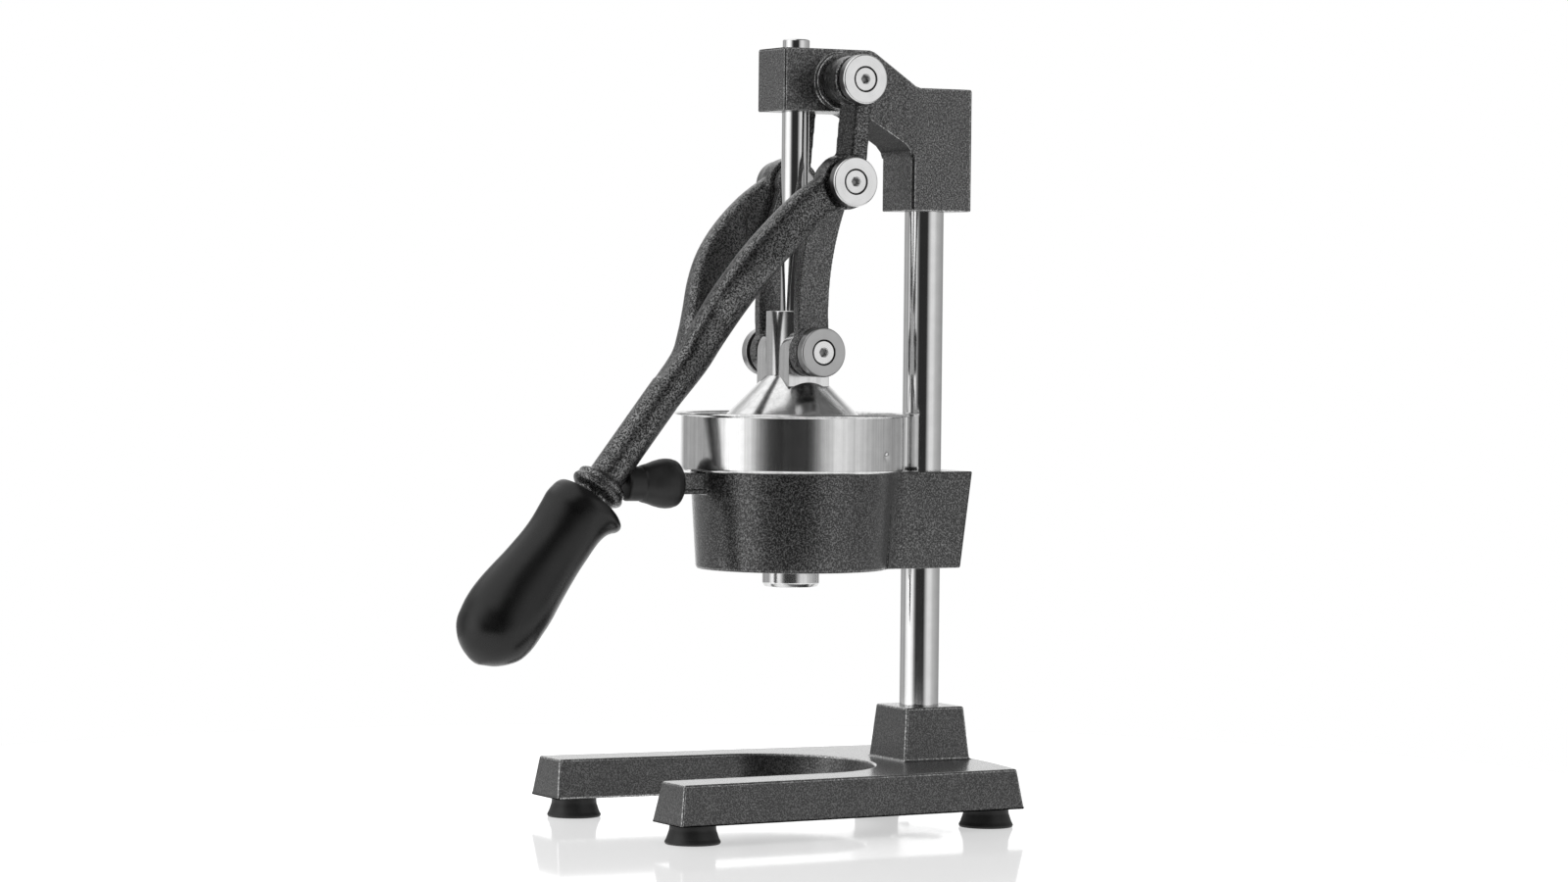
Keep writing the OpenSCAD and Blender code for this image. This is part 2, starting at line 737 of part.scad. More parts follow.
// Sheet-metal cup: flanged rim, shoulder on the bracket, funnel and spout
module juice_cup() {
    t = sheet_t;
    shoulder_z = bracket_top_z;
    body_r = bracket_r - 9.6;
    color("#cfd0d2")
    translate([0, rod_y, 0])
        rotate_extrude()
            polygon([
                [cup_r + 3.6, cup_rim_z - 1], [cup_r + 3.6, cup_rim_z + 0.2],
                [cup_r + 2.8, cup_rim_z + 0.6], [cup_r - t, cup_rim_z + 0.6],
                [cup_r - t, shoulder_z + 2.5], [cup_r - t - 1, shoulder_z + t],
                [body_r, shoulder_z + t], [body_r - t, shoulder_z + t - 1],
                [body_r - t, 172], [spout_r - t, 150], [spout_r - t, spout_bottom_z + 1],
                [spout_r - t + 0.5, spout_bottom_z], [spout_r - 1.2, spout_bottom_z],
                [spout_r, spout_bottom_z + 1.4], [spout_r, 150 - t * 0.6], [body_r, 172 - t * 0.6],
                [body_r, shoulder_z], [cup_r - 2.4, shoulder_z], [cup_r - 0.7, shoulder_z + 0.7],
                [cup_r, shoulder_z + 2.4], [cup_r, cup_rim_z - 1]
            ]);
}

// Perforated reamer cone that stands on the cup's shoulder
module strainer() {
    t = 1.5;
    color("#c4c5c7")
    translate([0, rod_y, 0]) {
        difference() {
            rotate_extrude()
                polygon([
                    [strainer_r, strainer_flange_z], [strainer_r, strainer_flange_z + t],
                    [strainer_base_r, strainer_flange_z + t],
                    [strainer_top_r, strainer_top_z], [strainer_top_r * 0.55, strainer_top_z + 2.6],
                    [0, strainer_top_z + 3.4], [0, strainer_top_z + 3.4 - t],
                    [strainer_top_r * 0.5, strainer_top_z + 2.6 - t], [strainer_top_r - t, strainer_top_z - t * 0.6],
                    [strainer_base_r - t, strainer_flange_z]
                ]);
            for (k = [0 : strainer_holes - 1])
                rotate([0, 0, (k + 0.5) * 360 / strainer_holes])
                    translate([strainer_base_r + 4.2, 0, strainer_flange_z - 1])
                        cylinder(r = 2, h = 4);
        }
        for (k = [0 : strainer_ribs - 1])
            rotate([0, 0, k * 360 / strainer_ribs])
                strainer_rib();
    }
}

// Ridge that squeezes the fruit, from the foot of the cone to its top
module strainer_rib() {
    rotate([90, 0, 0])
        translate([0, 0, -0.9])
            linear_extrude(1.8)
                polygon([
                    [strainer_base_r - 1, strainer_flange_z + 1], [strainer_base_r + 1.2, strainer_flange_z + 1],
                    [strainer_top_r + 1.6, strainer_top_z], [strainer_top_r * 0.5, strainer_top_z + 4],
                    [strainer_top_r * 0.5, strainer_top_z + 1.6], [strainer_top_r - 1, strainer_top_z - 1]
                ]);
}

// ---- Plunger ------------------------------------------------------------------------------

module press_rod() {
    lower_z = pivot_c_z + 8;
    color("#d0d1d3")
    translate([0, rod_y, lower_z])
        rotate_extrude()
            polygon([[0, 0], [rod_r, 0], [rod_r, rod_top_z - lower_z - 0.8],
                [rod_r - 0.8, rod_top_z - lower_z], [0, rod_top_z - lower_z]]);
}

// Polished cone with its neck and the flat-sided pivot boss, hollow below
module press_cone() {
    neck_foot_z = pivot_c_z - 13;
    skirt_z = neck_foot_z - (cone_r - neck_r);
    rim_z = skirt_z - 7;
    wall = 3;
    color("#d6d7d9")
    difference() {
        union() {
            translate([0, rod_y, 0])
                rotate_extrude()
                    polygon([
                        [0, neck_foot_z - 6], [0, neck_top_z], [neck_r - 0.6, neck_top_z],
                        [neck_r, neck_top_z - 0.6], [neck_r, neck_foot_z], [cone_r, skirt_z],
                        [cone_r, rim_z + 0.8], [cone_r - 0.8, rim_z], [cone_r - wall, rim_z],
                        [cone_r - wall, skirt_z - wall * 0.42], [neck_r - 3, neck_foot_z - 1.4 * wall + 3]
                    ]);
            intersection() {
                yz_plate(-boss_x, boss_x)
                    union() {
                        translate(pivot_c) circle(r = boss_half_depth);
                        translate([rod_y - boss_half_depth, pivot_c_z - 32])
                            square([2 * boss_half_depth, 32]);
                    }
                translate([0, rod_y, 0])
                    rotate_extrude()
                        polygon([[0, neck_foot_z - 14], [28, neck_foot_z - 14],
                            [28, pivot_c_z + 20], [0, pivot_c_z + 20]]);
            }
        }
        // Hollow under the cone
        translate([0, rod_y, 0])
            rotate_extrude()
                polygon([[0, rim_z - 1], [cone_r - wall, rim_z - 1], [cone_r - wall, skirt_z - wall * 0.42],
                    [neck_r - 3, neck_foot_z - 1.4 * wall + 3 - 3.8], [0, neck_foot_z - 5]]);
        x_rod(pivot_c, shaft_r, -boss_x - 1, boss_x + 1);
        translate([0, rod_y, pivot_c_z + 8]) cylinder(r = rod_r, h = 40);
    }
}

// ---- Links --------------------------------------------------------------------------------

// Outline of a link in its own frame: pivot C at the origin, pivot B at [0, link_len], front to -Y
module link_outline() {
    bend_r = (link_len * link_len / 4 + link_bulge * link_bulge) / (2 * link_bulge);
    intersection() {
        translate([bend_r - link_bulge, link_len / 2])
            difference() {
                circle(r = bend_r + link_w / 2);
                circle(r = bend_r - link_w / 2);
            }
        translate([-link_w, 0]) square([2 * link_w, link_len]);
    }
    circle(r = link_eye_r);
    translate([0, link_len]) circle(r = link_top_eye_r);
}

module link(side) {
    color("#5a5b5d")
    mirror([side < 0 ? 1 : 0, 0, 0])
        difference() {
            union() {
                translate([0, pivot_c[0], pivot_c[1]])
                    rotate([-link_tilt, 0, 0])
                        yz_plate(link_inner_x, link_outer_x)
                            link_outline();
                x_rod(pivot_c, link_eye_r - 0.6, boss_x + 0.5, link_c_outer_x);
            }
            x_rod(pivot_c, bush_r, 0, 40);
            x_rod(pivot_b, shaft_r, 0, 40);
        }
}

module link_bush(side) {
    color("#9a7b46")
    mirror([side < 0 ? 1 : 0, 0, 0])
        difference() {
            x_rod(pivot_c, bush_r, boss_x + 0.5, link_c_outer_x);
            x_rod(pivot_c, shaft_r + fit, 0, 40);
        }
}

// Inner end of the short pin: a flat head and the length that turns in the link
module pin_head(side) {
    color("#a9aaac")
    mirror([side < 0 ? 1 : 0, 0, 0]) {
        x_rod(pivot_b, shaft_r + 3, link_inner_x - pin_head_t, link_inner_x);
        x_rod(pivot_b, shaft_r, link_inner_x - 1, link_outer_x);
    }
}

module link_left() link(-1);
module link_right() link(1);
module link_bush_left() link_bush(-1);
module link_bush_right() link_bush(1);
module pin_head_left() pin_head(-1);
module pin_head_right() pin_head(1);

// ---- Lever --------------------------------------------------------------------------------

// Fork arm from the link pivot down to the straight bar
module fork_arm() {
    path = spline([for (p = fork_path) [p[0], p[1] + rod_y, p[2]]], fork_steps);
    size = spline(fork_size, fork_steps);
    skin([
        for (i = [0 : len(path) - 1])
            section_ring(path[i], tangent(path, i), size[i][0], size[i][1], fork_sides, fork_power)
    ]);
}

// Places its children with +Z along the bar, a distance from the bar's start
module on_bar(distance) {
    lean = atan2(-bar_dir[1], -bar_dir[2]);
    translate(bar_start + bar_dir * distance)
        rotate([180 - lean, 0, 0])
            children();
}

// Short arm from the link pivot up to the head pivot, with a slanted front face
module short_arm() {
    translate([0, pivot_b[0], pivot_b[1]])
        rotate([-arm_tilt, 0, 0])
            linear_extrude(arm_len)
                polygon([
                    [lever_inner_x + 0.5, -4.3], [lever_inner_x + 1.8, -4.3], [lever_inner_x + 11.3, 0.4],
                    [lever_inner_x + 11.3, 9.6], [lever_inner_x + 10.5, 10.4], [lever_inner_x + 0.5, 10.4]
                ]);
}

module lever_side() {
    fork_arm();
    difference() {
        short_arm();
        x_rod(pivot_a, eye_a_r, eye_outer_x - 0.6, 60);
    }
    x_rod(pivot_a, eye_a_r, lever_inner_x, eye_outer_x);
    x_rod(pivot_a, eye_collar_r, pad_x + gap, lever_inner_x);
    x_rod(pivot_b, eye_b_r, lever_inner_x, eye_outer_x);
}

module lever_casting() {
    color("#474849")
    difference() {
        union() {
            both_sides() lever_side();
            on_bar(0) cylinder(r = bar_d / 2, h = collar_at);
            on_bar(collar_at - collar_len)
                rotate_extrude()
                    polygon([
                        [0, 0], [bar_d / 2, 0], [collar_r - 2.2, 0.9], [collar_r - 1, 2.2],
                        [collar_r - 1, 3.4], [collar_r - 1.9, 4.4], [collar_r - 0.6, 5.3], [collar_r, 6.6],
                        [collar_r - 0.2, 8], [collar_r - 1.6, 9.4], [collar_r - 3.2, 10.6],
                        [collar_r - 3.8, 12], [collar_r - 3.8, collar_len], [0, collar_len]
                    ]);
            on_bar(collar_at - 1) cylinder(r = tang_r, h = tang_len + 1);
        }
        both_sides() {
            // Flat inner face beside the link
            translate([0, pivot_b[0] - 30, pivot_b[1] - 32]) cube([lever_inner_x, 60, 52]);
            // Spot face for the cap washer
            x_rod(pivot_b, eye_b_r + 0.4, eye_outer_x, 60);
            x_rod(pivot_b, shaft_r, 0, 60);
            x_rod(pivot_a, bush_r, 0, 60);
        }
    }
}

// Bearing bushes in the lever's head eyes
module lever_bushes() {
    color("#9a7b46")
    both_sides()
        difference() {
            x_rod(pivot_a, bush_r, pad_x + gap, eye_outer_x);
            x_rod(pivot_a, shaft_r + fit, 0, 60);
        }
}

// Moulded grip over the lever's tang
module grip() {
    rings = [
        for (g = grip_rings)
            [for (k = [0 : grip_sides - 1])
                let (c = cos(360 * k / grip_sides), s = sin(360 * k / grip_sides))
                [g[3] * c, (s > 0 ? g[1] : g[2]) * s, g[0] * grip_len / grip_ring_len]]
    ];
    color("#191919")
    difference() {
        on_bar(collar_at) skin(rings);
        on_bar(collar_at - 5) cylinder(r = tang_r, h = tang_len + 5);
    }
}

base_casting();
foot_front_left();
foot_front_right();
foot_rear_left();
foot_rear_right();
foot_screws();
column();
column_bolt();
column_bolt_washer();
head_casting();
head_set_screws();
pivot_a_shaft();
pivot_a_spacers();
pivot_a_cap_left();
pivot_a_cap_right();
pivot_a_screws();
bowl_bracket();
bracket_set_screws();
stop_bumper();
juice_cup();
strainer();
press_rod();
press_cone();
pivot_c_shaft();
pivot_c_spacers();
pivot_c_cap_left();
pivot_c_cap_right();
pivot_c_screws();
link_left();
link_right();
link_bush_left();
link_bush_right();
pin_head_left();
pin_head_right();
lever_casting();
lever_bushes();
pivot_b_pins();
pivot_b_spacers();
pivot_b_cap_left();
pivot_b_cap_right();
pivot_b_screws();
grip();
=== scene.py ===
import bpy
import bmesh
import json
import math
import numpy as np
from mathutils import Matrix, Vector


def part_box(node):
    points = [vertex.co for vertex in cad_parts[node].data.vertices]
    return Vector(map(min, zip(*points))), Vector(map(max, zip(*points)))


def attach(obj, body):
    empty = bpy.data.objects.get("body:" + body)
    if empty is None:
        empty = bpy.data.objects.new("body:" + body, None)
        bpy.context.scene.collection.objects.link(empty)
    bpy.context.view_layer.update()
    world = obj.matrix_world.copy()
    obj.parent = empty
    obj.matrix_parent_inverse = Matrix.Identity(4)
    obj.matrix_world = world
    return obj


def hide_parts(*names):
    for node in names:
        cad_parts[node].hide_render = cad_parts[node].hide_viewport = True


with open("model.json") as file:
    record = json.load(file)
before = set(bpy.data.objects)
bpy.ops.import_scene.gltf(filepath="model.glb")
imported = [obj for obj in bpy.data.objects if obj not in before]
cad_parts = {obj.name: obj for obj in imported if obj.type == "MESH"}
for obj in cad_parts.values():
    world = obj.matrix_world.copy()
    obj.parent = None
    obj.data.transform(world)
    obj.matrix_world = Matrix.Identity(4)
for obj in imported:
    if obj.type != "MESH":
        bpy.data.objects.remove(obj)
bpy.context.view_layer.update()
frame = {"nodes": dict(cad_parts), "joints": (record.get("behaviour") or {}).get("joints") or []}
nodes = frame["nodes"]
joints = {j["name"]: j for j in frame["joints"]}

# Lengths in profiles and tables are millimetres; positions given to Blender are metres
MM = 0.001
TINY = 1e-6


def mid(node):
    lo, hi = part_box(node)
    return (lo + hi) / 2


def upright_size(node):
    """Radius, lower end and upper end of an upright round node, in millimetres."""
    lo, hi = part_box(node)
    return (hi.x - lo.x) / 2 / MM, lo.z / MM, hi.z / MM


# Pivots: a joins the lever to the head, b the lever to the links, c the links to the press cone
PIVOT_A = Vector(joints["lever_hinge"]["pos_m"])
PIVOT_B = mid("pivot_b_pins")
PIVOT_C = Vector(joints["link_left_hinge"]["pos_m"])
ROD_Y = PIVOT_C.y
COLUMN_Y = mid("column").y

# ---- Mesh helpers -------------------------------------------------------------------------


def make(name, verts, faces, matrix=None):
    """A smooth-shaded mesh object from points in millimetres."""
    mesh = bpy.data.meshes.new(name)
    mesh.from_pydata([tuple(v) for v in np.asarray(verts, float) * MM], [], [tuple(f) for f in faces])
    if matrix is not None:
        mesh.transform(matrix)
    mesh.validate()
    mesh.shade_smooth()
    obj = bpy.data.objects.new(name, mesh)
    bpy.context.scene.collection.objects.link(obj)
    return obj


def even_normals(obj):
    """Turns every face outward."""
    bm = bmesh.new()
    bm.from_mesh(obj.data)
    bmesh.ops.recalc_face_normals(bm, faces=bm.faces)
    bm.to_mesh(obj.data)
    bm.free()


def weighted(obj):
    """Shades large faces flat and lets the small ones at the edges turn the light."""
    m = obj.modifiers.new("flats", "WEIGHTED_NORMAL")
    m.weight = 80
    m.keep_sharp = True


def bevel(obj, width, segments, degrees):
    """Rounds the edges that turn by more than some degrees; width in millimetres."""
    m = obj.modifiers.new("edges", "BEVEL")
    m.width = width * MM
    m.segments = segments
    m.limit_method = "ANGLE"
    m.angle_limit = math.radians(degrees)
    return m


def apply_modifiers(obj):
    graph = bpy.context.evaluated_depsgraph_get()
    mesh = bpy.data.meshes.new_from_object(obj.evaluated_get(graph))
    obj.modifiers.clear()
    old = obj.data
    obj.data = mesh
    bpy.data.meshes.remove(old)


def rounded(points, closed=False, steps=4):
    """Rounds the corners of a profile. A point is (r, h) or (r, h, fillet radius)."""
    corners = [(Vector(p[:2]), p[2] if len(p) > 2 else 0.0) for p in points]
    n = len(corners)
    out = []
    for i, (p, radius) in enumerate(corners):
        if radius <= 0 or (not closed and i in (0, n - 1)):
            out.append(p)
            continue
        before = corners[(i - 1) % n][0] - p
        after = corners[(i + 1) % n][0] - p
        half = before.angle(after) / 2
        cut = min(radius / math.tan(half), before.length * 0.49, after.length * 0.49)
        bisector = (before.normalized() + after.normalized()).normalized()
        centre = p + bisector * (cut * math.tan(half) / math.sin(half))
        start = p + before.normalized() * cut - centre
        end = p + after.normalized() * cut - centre
        turn = start.angle_signed(end)
        for k in range(steps + 1):
            t = -turn * k / steps
            out.append(centre + Vector((
                start.x * math.cos(t) - start.y * math.sin(t),
                start.x * math.sin(t) + start.y * math.cos(t))))
    return [(p.x, p.y) for p in out]


def add_ring(verts, rings, points):
    rings.append(list(range(len(verts), len(verts) + len(points))))
    verts += points


def ring_faces(rings, closed=False):
    """Faces between rings of points that follow one another; a ring of one point makes a fan."""
    pairs = list(zip(rings, rings[1:]))
    if closed:
        pairs.append((rings[-1], rings[0]))
    faces = []
    for lo, hi in pairs:
        n = max(len(lo), len(hi))
        for k in range(n if n > 1 else 0):
            m = (k + 1) % n
            if len(lo) == 1:
                faces.append((lo[0], hi[m], hi[k]))
            elif len(hi) == 1:
                faces.append((lo[k], lo[m], hi[0]))
            else:
                faces.append((lo[k], lo[m], hi[m], hi[k]))
    return faces


def circle(n):
    return [2 * math.pi * k / n for k in range(n)]


def lathe(name, profile, matrix, segments=128, closed=False):
    """Turns a profile of (r, h) in millimetres round its h axis, then places it by matrix (metres)."""
    verts, rings = [], []
    for r, h in profile:
        if r < TINY:
            add_ring(verts, rings, [(0, 0, h)])
        else:
            add_ring(verts, rings, [(r * math.cos(a), r * math.sin(a), h) for a in circle(segments)])
    obj = make(name, verts, ring_faces(rings, closed), matrix)
    even_normals(obj)
    weighted(obj)
    return obj


def upright(x, y):
    return Matrix.Translation((x, y, 0))


def along_x(x, centre, side):
    """Places a lathe so that its h axis points out along X on that side, through centre."""
    return Matrix.Translation((x, centre.y, centre.z)) @ Matrix.Rotation(side * math.pi / 2, 4, "Y")


def dress(obj, material):
    obj.data.materials.clear()
    obj.data.materials.append(material)


def stand_in(obj, body, node, material):
    """The piece rides on a body and shows a CAD node in its own material."""
    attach(obj, body)
    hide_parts(node)
    dress(obj, material)


def skin_of(name, node, flat=0.6):
    """A copy of a CAD solid, its duplicate corners merged and faces within flat degrees joined."""
    mesh = nodes[node].data.copy()
    mesh.materials.clear()
    obj = bpy.data.objects.new(name, mesh)
    bpy.context.scene.collection.objects.link(obj)
    bm = bmesh.new()
    bm.from_mesh(mesh)
    bmesh.ops.remove_doubles(bm, verts=bm.verts, dist=0.002 * MM)
    bmesh.ops.dissolve_limit(bm, angle_limit=math.radians(flat), verts=bm.verts, edges=bm.edges)
    bm.to_mesh(mesh)
    bm.free()
    return obj


def cast(name, node, radius, segments, material, edge_highlight, flat=0.6):
    """A casting of the frame with crisp, slightly rounded edges; the rounded edges take a second, lighter
    paint as a painted highlight.
    """
    obj = skin_of(name, node, flat)
    m = bevel(obj, radius, segments, 28)
    m.use_clamp_overlap = False
    # The rounded edges get the lighter second material, a painted highlight
    m.material = 1
    obj.data.materials.append(material)
    obj.data.materials.append(edge_highlight)
    apply_modifiers(obj)
    obj.data.shade_smooth()
    weighted(obj)
    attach(obj, "frame")
    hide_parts(node)
    return obj


def soft_cast(name, node, voxel, soften, body, material):
    """A casting whose edges run round all over, as sand casting and thick paint leave them."""
    obj = skin_of(name, node)
    m = obj.modifiers.new("skin", "REMESH")
    m.mode = "VOXEL"
    m.voxel_size = voxel * MM
    m.use_smooth_shade = True
    m = obj.modifiers.new("soft", "SMOOTH")
    m.factor = 0.5
    m.iterations = soften
    apply_modifiers(obj)
    stand_in(obj, body, node, material)
    return obj


def repaint(obj, material, chosen):
    """Gives the faces that a test of centre and normal picks another material; every use here paints shade.
    """
    obj.data.materials.append(material)
    index = len(obj.data.materials) - 1
    for face in obj.data.polygons:
        if chosen(face.center, face.normal):
            face.material_index = index


def from_axis(point, centre):
    """Distance of a point from the X axis through centre."""
    return math.hypot(point.y - centre.y, point.z - centre.z)


def paint_recess_shade(obj, material, centre, within, below):
    """Painted shade: a darker material for faces inside a radius (mm) round an X axis and sunk below a face
    (m).
    """
    repaint(obj, material, lambda p, n: from_axis(p, centre) < within * MM and abs(p.x) < below)


# ---- Materials ----------------------------------------------------------------------------

WHITE = (1, 1, 1, 1)


class Tree:
    """Short calls for building a node tree."""

    def __init__(self, tree):
        self.tree = tree

    def new(self, kind):
        return self.tree.nodes.new("ShaderNode" + kind)

    def put(self, socket, value):
        if isinstance(value, bpy.types.NodeSocket):
            self.tree.links.new(value, socket)
        else:
            socket.default_value = value

    def add(self, kind, **inputs):
        node = self.new(kind)
        for key, value in inputs.items():
            self.put(node.inputs[key.replace("_", " ")], value)
        return node

    def place(self, scale=(1, 1, 1)):
        """Object coordinates in millimetres, stretched by scale."""
        m = self.add("Mapping", Vector=self.new("TexCoord").outputs["Object"])
        m.inputs["Scale"].default_value = [s / MM for s in scale]
        return m.outputs[0]

    def noise(self, vector, scale, detail=2.0, rough=0.5, distort=0.0):
        n = self.add("TexNoise", Vector=vector, Scale=scale, Detail=detail, Roughness=rough,
                     Distortion=distort)
        return n.outputs[0]

    def ramp(self, value, stops):
        """A colour ramp with stops of (position, grey) or (position, (red, green, blue))."""
        n = self.new("ValToRGB")
        self.put(n.inputs[0], value)
        elements = n.color_ramp.elements
        while len(elements) < len(stops):
            elements.new(0.5)
        for element, (position, colour) in zip(elements, stops):
            element.position = position
            element.color = (*([colour] * 3 if isinstance(colour, float) else colour), 1)
        return n.outputs[0]

    def span(self, value, a, b, c=0.0, d=1.0, smooth=False):
        """Carries the range a to b over to c to d."""
        n = self.add("MapRange", Value=value, From_Min=a, From_Max=b, To_Min=c, To_Max=d)
        if smooth:
            n.interpolation_type = "SMOOTHSTEP"
        return n.outputs[0]

    def math(self, op, a, b=0.0):
        n = self.new("Math")
        n.operation = op
        self.put(n.inputs[0], a)
        self.put(n.inputs[1], b)
        return n.outputs[0]

    def vector(self, op, a, b=(0, 0, 0)):
        n = self.new("VectorMath")
        n.operation = op
        self.put(n.inputs[0], a)
        self.put(n.inputs[1], b)
        return n

    def mix(self, share, a, b):
        n = self.new("Mix")
        n.data_type = "RGBA"
        self.put(n.inputs[0], share)
        self.put(n.inputs[6], a)
        self.put(n.inputs[7], b)
        return n.outputs[2]

    def bump(self, height, strength, distance):
        return self.add("Bump", Height=height, Strength=strength, Distance=distance * MM).outputs[0]


class Finish(Tree):
    """The node tree of a new material with one Principled shader."""

    def __init__(self, name):
        self.mat = bpy.data.materials.new(name)
        self.mat.use_nodes = True
        super().__init__(self.mat.node_tree)

    def set(self, **inputs):
        for key, value in inputs.items():
            self.put(self.tree.nodes["Principled BSDF"].inputs[key.replace("_", " ")], value)


def hammered(name, cell, dark, light, rough, depth, flake=0.6, coat=0.7, shine=0.16):
    """Textured powder coat: light flecks and ridges over a dark ground, cell millimetres apart."""
    m = Finish(name)
    p = m.place()
    ridge = m.noise(p, 1.0 / cell, 2.2, 0.55, 0.35)
    fine = m.noise(p, 3.1 / cell, 1.0)
    cloud = m.noise(p, 0.045)
    tone = m.math("ADD", m.math("MULTIPLY", ridge, 0.7), m.math("MULTIPLY", fine, 0.3))
    ground = m.ramp(tone, [(0.39, dark * 0.5), (0.48, dark), (0.55, (dark + light) / 2), (0.62, light)])
    m.set(Base_Color=m.math("MULTIPLY", ground, m.span(cloud, 0.35, 0.65, 0.9, 1.1)))
    m.set(Metallic=flake, Roughness=m.span(tone, 0.35, 0.65, rough + 0.08, rough - 0.06))
    m.set(Normal=m.bump(tone, 1.0, depth))
    m.set(Coat_Weight=coat, Coat_Roughness=shine, Coat_Normal=m.bump(tone, 1.0, depth * 0.5))
    return m.mat


def chrome(name, base, rough):
    """Plated upright bar with faint lines along its length."""
    m = Finish(name)
    lines = m.noise(m.place((1, 1, 0.004)), 2.2, 3.0, 0.6)
    cloud = m.noise(m.place(), 0.12)
    m.set(Metallic=1.0, Base_Color=m.ramp(cloud, [(0.35, base * 0.94), (0.65, base)]))
    m.set(Roughness=m.span(lines, 0.3, 0.7, rough, rough + 0.05))
    m.set(Normal=m.bump(lines, 0.02, 0.02))
    return m.mat


def turned(name, centre, axis, base, rough, ring=0.2, depth=0.012, spread=0.06, drawn=0.0):
    """Metal turned on a lathe: fine rings round an axis through centre (metres), with drawing marks
    along Z where drawn is above 0."""
    m = Finish(name)
    offset = m.vector("SUBTRACT", m.new("TexCoord").outputs["Object"], centre).outputs[0]
    across = {"x": (0, 1 / MM, 1 / MM), "z": (1 / MM, 1 / MM, 0)}[axis]
    radius = m.vector("LENGTH", m.vector("MULTIPLY", offset, across).outputs[0]).outputs[1]
    along = m.add("SeparateXYZ", Vector=offset).outputs["XYZ".index(axis.upper())]
    pair = m.add("CombineXYZ", X=radius, Y=m.math("MULTIPLY", along, 1 / MM))
    rings = m.noise(pair.outputs[0], 1.0 / ring, 3.0, 0.65)
    cloud = m.noise(m.place(), 0.15)
    marks = m.noise(m.place((1, 1, 0.012)), 0.22, 4.0, 0.62)
    grey = m.ramp(m.math("ADD", m.math("MULTIPLY", rings, 0.5), m.math("MULTIPLY", cloud, 0.5)),
                  [(0.35, base * 0.88), (0.65, base)])
    m.set(Metallic=1.0, Base_Color=m.mix(m.span(marks, 0.42, 0.7, 0.0, drawn), grey, (0.3, 0.3, 0.3, 1)))
    m.set(Roughness=m.span(rings, 0.3, 0.7, rough, rough + spread))
    m.set(Normal=m.bump(rings, 0.5, depth))
    return m.mat


def moulded(name, base, rough, grain, depth, metal=0.0, tint=(1, 1, 1), specular=0.5):
    """Plastic, rubber or plain grey metal with a fine grain, soft smears and a few dull marks."""
    m = Finish(name)
    fine = m.noise(m.place(), 1.0 / grain, 2.0, 0.55)
    cloud = m.noise(m.place(), 0.06, 3.0, 0.6)
    marks = m.noise(m.place((1, 1, 0.25)), 0.35, 4.0, 0.7)
    m.set(Base_Color=m.ramp(cloud, [
        (position, [base * share * t for t in tint]) for position, share in ((0.3, 0.8), (0.7, 1.25))]))
    m.set(Roughness=m.math("ADD", m.span(cloud, 0.3, 0.7, rough - 0.04, rough + 0.05),
                           m.span(marks, 0.55, 0.75, 0.0, 0.08)))
    m.set(Normal=m.bump(fine, 0.6, depth), Metallic=metal, Specular_IOR_Level=specular)
    return m.mat


paint_coarse = hammered("paint_coarse", 0.9, 0.008, 0.21, rough=0.3, depth=0.15,
                        flake=0.7, coat=1.0, shine=0.22)
paint_base = hammered("paint_base", 0.8, 0.014, 0.15, rough=0.32, depth=0.1,
                      flake=0.65, coat=1.0, shine=0.18)
paint_lever = hammered("paint_lever", 0.85, 0.008, 0.36, rough=0.3, depth=0.2,
                       flake=0.75, coat=0.5, shine=0.3)
paint_fine = hammered("paint_fine", 0.8, 0.045, 0.32, rough=0.4, depth=0.1)
# A darker paint: painted shade on the head's arch underside and front chamfers and on the lever's short arm
# fronts
painted_shade_coat = hammered("painted_shade_coat", 0.8, 0.012, 0.1, rough=0.5, depth=0.12, coat=0.15)
# A lighter paint on the castings' rounded edges: a painted highlight
painted_highlight_coat = hammered("painted_highlight_coat", 0.9, 0.2, 0.7, rough=0.22, depth=0.1, flake=0.9, coat=1.0, shine=0.1)
rod_chrome = chrome("chrome_bar", 0.8, 0.07)
rubber = moulded("rubber_black", 0.012, 0.46, grain=0.35, depth=0.02)
grip_plastic = moulded("grip_black", 0.006, 0.28, grain=0.5, depth=0.012, specular=0.4)
# Black rings: their own colour, and also standing in for the shade in the gap between eye and cap
black_spacer_and_gap_shade = moulded("spacer_black", 0.018, 0.45, grain=0.4, depth=0.015)
ROD_AXIS = (0, ROD_Y, 0)
cup_metal = turned("cup_steel", ROD_AXIS, "z", 0.88, 0.16, ring=0.35, depth=0.01, spread=0.05, drawn=0.45)
cone_metal = turned("cone_steel", ROD_AXIS, "z", 0.86, 0.14, ring=0.4, depth=0.008, spread=0.05, drawn=0.3)
sieve_metal = turned("sieve_steel", ROD_AXIS, "z", 0.66, 0.22, ring=0.3, depth=0.02)
cap_metal = {
    "a": turned("cap_a_metal", PIVOT_A, "x", 0.95, 0.26),
    "b": turned("cap_b_metal", PIVOT_B, "x", 0.95, 0.26),
    "c": turned("cap_c_metal", PIVOT_C, "x", 0.52, 0.28),
}
# A darker metal: painted shade on the sides of caps a and b and inside the screw sockets
side_and_socket_shade = turned("cap_side_painted_shade", PIVOT_A, "x", 0.3, 0.3)
screw_metal = turned("screw_metal", PIVOT_C, "x", 0.93, 0.24)
shaft_metal = turned("shaft_steel", PIVOT_A, "x", 0.5, 0.25, ring=0.15, depth=0.01)
zinc = moulded("zinc_steel", 0.38, 0.35, grain=0.3, depth=0.02, metal=1.0)
